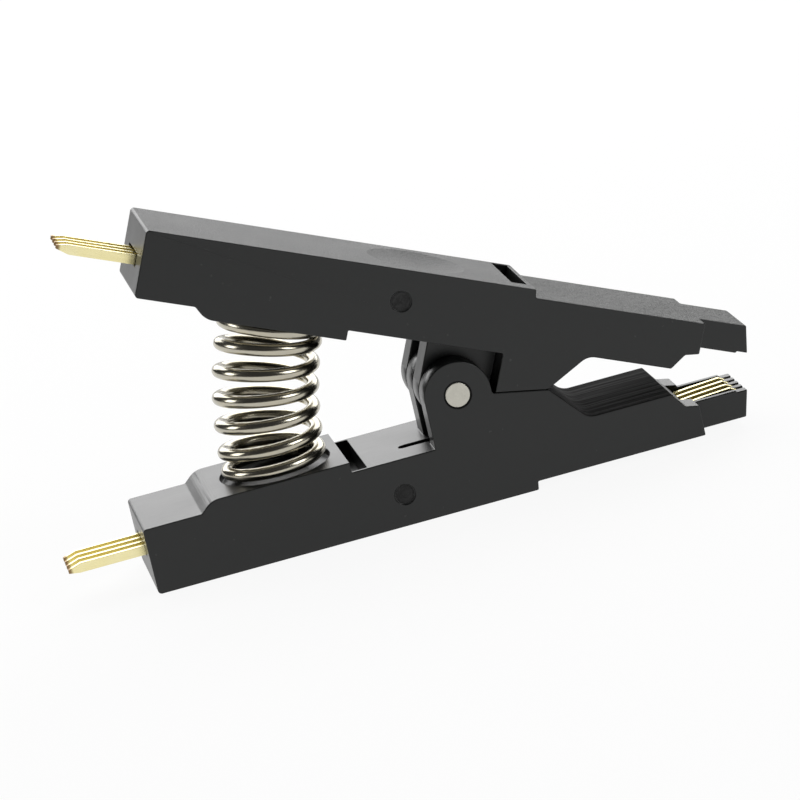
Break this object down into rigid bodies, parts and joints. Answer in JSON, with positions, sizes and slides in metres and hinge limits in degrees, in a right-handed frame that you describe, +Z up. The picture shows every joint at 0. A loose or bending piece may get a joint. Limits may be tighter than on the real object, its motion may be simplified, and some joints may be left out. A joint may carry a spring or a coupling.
{
  "type": "ic test clip",
  "caption": "Spring-loaded clip for a narrow surface-mount IC: two hinged black plastic jaws with flat gilt contact strips that leave the handles as tails.",
  "frame": {"origin": "on the flat outer face of the lower handle, straight below the pivot axis, at the middle of the clip's width", "axes": "+X along the lower handle towards the jaws, +Y across the clip along the pivot pin, +Z up from the lower handle to the upper one"},
  "size_m": [0.0592, 0.0104, 0.0296],
  "materials": {
    "housing": "moulded black, satin, with a fine grain on the outer faces",
    "contact": "gold-plated flat strip, bright",
    "spring": "bright drawn spring wire",
    "pivot_pin": "plain bright steel, cut ends"
  },
  "bodies": {
    "lower_half": {"lower_housing": "housing", "lower_contact_1": "contact", "lower_contact_2": "contact", "lower_contact_3": "contact", "lower_contact_4": "contact", "spring": "spring", "pivot_pin": "pivot_pin"},
    "upper_half": {"upper_housing": "housing", "upper_contact_1": "contact", "upper_contact_2": "contact", "upper_contact_3": "contact", "upper_contact_4": "contact"}
  },
  "joints": [
    {"name": "jaw_hinge", "type": "hinge", "parent": "lower_half", "child": "upper_half", "pos_m": [0, 0, 0.0096], "axis": [0, -1, 0], "range_deg": [0, 18], "stiffness_Nm_per_rad": 0.96, "deforming": ["spring"]}
  ]
}
